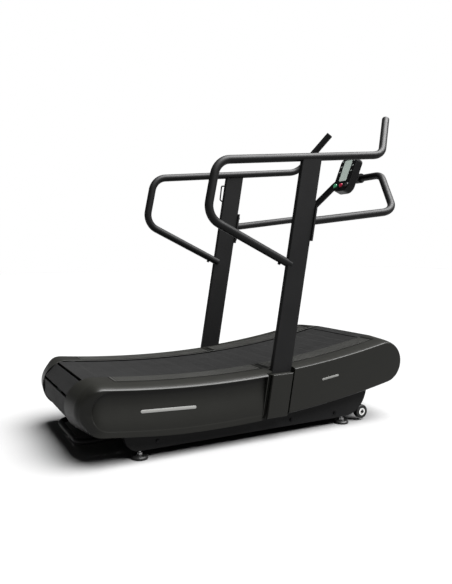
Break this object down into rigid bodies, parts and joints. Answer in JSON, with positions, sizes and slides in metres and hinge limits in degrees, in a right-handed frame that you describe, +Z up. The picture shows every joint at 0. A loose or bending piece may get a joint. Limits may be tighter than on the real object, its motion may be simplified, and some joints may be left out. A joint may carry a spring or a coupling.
{
  "type": "curved manual treadmill",
  "caption": "Motorless treadmill with a concave slat belt on two axles, leaning posts, looped handrails with raised horns and a tilting display console.",
  "frame": {"origin": "on the floor at the middle of the plan", "axes": "+X forward towards the console, +Y to the user's left, +Z up"},
  "size_m": [1.766, 0.82, 1.5772],
  "materials": {
    "frame_paint": "satin black powder coat",
    "axle_steel": "ground steel",
    "pulley_aluminium": "machined",
    "cord_rubber": "matte",
    "slat_aluminium": "mill finish",
    "tread_rubber": "matte ribbed",
    "cover_plastic": "satin charcoal",
    "grip_rubber": "ribbed",
    "cap_plastic": "matte",
    "bolt_steel": "black oxide",
    "console_plastic": "satin",
    "lcd_glass": "pale display",
    "board_laminate": "green laminate",
    "key_pale": "satin",
    "key_red": "satin",
    "key_green": "satin",
    "key_dark": "satin",
    "foot_rubber": "matte",
    "foot_zinc": "zinc plated",
    "tyre_rubber": "matte",
    "hub_plastic": "satin"
  },
  "bodies": {
    "frame": {"side_rail_left": "frame_paint", "side_rail_right": "frame_paint", "cross_members": "frame_paint", "belt_frame_left": "frame_paint", "belt_frame_right": "frame_paint", "frame_ties": "frame_paint", "lift_handle": "frame_paint", "wheel_brackets": "frame_paint", "post_left": "frame_paint", "post_right": "frame_paint", "handrail_left": "frame_paint", "handrail_right": "frame_paint", "front_frame_tube": "frame_paint", "mount_plates": "frame_paint", "console_clamp": "frame_paint", "accessory_hook": "frame_paint", "guide_bearings": "axle_steel", "axle_bearings": "axle_steel", "belt_cords": "cord_rubber", "slat_bars": "slat_aluminium", "slat_treads": "tread_rubber", "cover_rear_left": "cover_plastic", "cover_rear_right": "cover_plastic", "cover_front_left": "cover_plastic", "cover_front_right": "cover_plastic", "post_boot_left": "cover_plastic", "post_boot_right": "cover_plastic", "foot_grip_left": "grip_rubber", "foot_grip_right": "grip_rubber", "horn_caps": "cap_plastic", "frame_bolts": "bolt_steel"},
    "rear_axle": {"rear_pulleys": "pulley_aluminium", "rear_shaft": "axle_steel"},
    "front_axle": {"front_pulleys": "pulley_aluminium", "front_shaft": "axle_steel"},
    "wheel_left": {"wheel_tyre_left": "tyre_rubber", "wheel_hub_left": "hub_plastic"},
    "wheel_right": {"wheel_tyre_right": "tyre_rubber", "wheel_hub_right": "hub_plastic"},
    "foot_rear_left": {"foot_rear_pad_left": "foot_rubber", "foot_rear_stem_left": "foot_zinc"},
    "foot_rear_right": {"foot_rear_pad_right": "foot_rubber", "foot_rear_stem_right": "foot_zinc"},
    "foot_front_left": {"foot_front_pad_left": "foot_rubber", "foot_front_stem_left": "foot_zinc"},
    "foot_front_right": {"foot_front_pad_right": "foot_rubber", "foot_front_stem_right": "foot_zinc"},
    "console": {"console_front": "console_plastic", "console_back": "console_plastic", "lcd_window": "lcd_glass", "circuit_board": "board_laminate"},
    "key_left_1": {"key_left_1": "key_pale"},
    "key_right_1": {"key_right_1": "key_pale"},
    "key_left_2": {"key_left_2": "key_pale"},
    "key_right_2": {"key_right_2": "key_pale"},
    "key_left_3": {"key_left_3": "key_pale"},
    "key_right_3": {"key_right_3": "key_pale"},
    "key_start": {"key_start": "key_green"},
    "key_stop": {"key_stop": "key_red"},
    "key_mode": {"key_mode": "key_dark"}
  },
  "joints": [
    {"name": "front_axle_spin", "type": "hinge", "parent": "frame", "child": "front_axle", "pos_m": [0.73, 0, 0.30507], "axis": [0, 1, 0], "continuous": true},
    {"name": "rear_axle_spin", "type": "hinge", "parent": "frame", "child": "rear_axle", "pos_m": [-0.772, 0, 0.22855], "axis": [0, 1, 0], "continuous": true},
    {"name": "wheel_left_spin", "type": "hinge", "parent": "frame", "child": "wheel_left", "pos_m": [0.596, 0.335, 0.045], "axis": [0, 1, 0], "continuous": true},
    {"name": "wheel_right_spin", "type": "hinge", "parent": "frame", "child": "wheel_right", "pos_m": [0.596, -0.335, 0.045], "axis": [0, 1, 0], "continuous": true},
    {"name": "foot_rear_left_turn", "type": "hinge", "parent": "frame", "child": "foot_rear_left", "pos_m": [-0.599, 0.334, 0], "axis": [0, 0, 1], "continuous": true},
    {"name": "foot_rear_right_turn", "type": "hinge", "parent": "frame", "child": "foot_rear_right", "pos_m": [-0.599, -0.334, 0], "axis": [0, 0, 1], "continuous": true},
    {"name": "foot_front_left_turn", "type": "hinge", "parent": "frame", "child": "foot_front_left", "pos_m": [0.473, 0.334, 0], "axis": [0, 0, 1], "continuous": true},
    {"name": "foot_front_right_turn", "type": "hinge", "parent": "frame", "child": "foot_front_right", "pos_m": [0.473, -0.334, 0], "axis": [0, 0, 1], "continuous": true},
    {"name": "console_tilt", "type": "hinge", "parent": "frame", "child": "console", "pos_m": [0.81769, 0, 1.2742], "axis": [0, 1, 0], "range_deg": [-12, 12]},
    {"name": "key_left_1_press", "type": "slide", "parent": "console", "child": "key_left_1", "axis": [0.9259, 0, -0.3778], "range_m": [0, 0.001], "stiffness_N_per_m": 400},
    {"name": "key_right_1_press", "type": "slide", "parent": "console", "child": "key_right_1", "axis": [0.9259, 0, -0.3778], "range_m": [0, 0.001], "stiffness_N_per_m": 400},
    {"name": "key_left_2_press", "type": "slide", "parent": "console", "child": "key_left_2", "axis": [0.9259, 0, -0.3778], "range_m": [0, 0.001], "stiffness_N_per_m": 400},
    {"name": "key_right_2_press", "type": "slide", "parent": "console", "child": "key_right_2", "axis": [0.9259, 0, -0.3778], "range_m": [0, 0.001], "stiffness_N_per_m": 400},
    {"name": "key_left_3_press", "type": "slide", "parent": "console", "child": "key_left_3", "axis": [0.9259, 0, -0.3778], "range_m": [0, 0.001], "stiffness_N_per_m": 400},
    {"name": "key_right_3_press", "type": "slide", "parent": "console", "child": "key_right_3", "axis": [0.9259, 0, -0.3778], "range_m": [0, 0.001], "stiffness_N_per_m": 400},
    {"name": "key_start_press", "type": "slide", "parent": "console", "child": "key_start", "axis": [0.9259, 0, -0.3778], "range_m": [0, 0.001], "stiffness_N_per_m": 400},
    {"name": "key_stop_press", "type": "slide", "parent": "console", "child": "key_stop", "axis": [0.9259, 0, -0.3778], "range_m": [0, 0.001], "stiffness_N_per_m": 400},
    {"name": "key_mode_press", "type": "slide", "parent": "console", "child": "key_mode", "axis": [0.9259, 0, -0.3778], "range_m": [0, 0.001], "stiffness_N_per_m": 400}
  ],
  "couplings": [
    {"joint": "rear_axle_spin", "follows": "front_axle_spin", "ratio": 1}
  ]
}
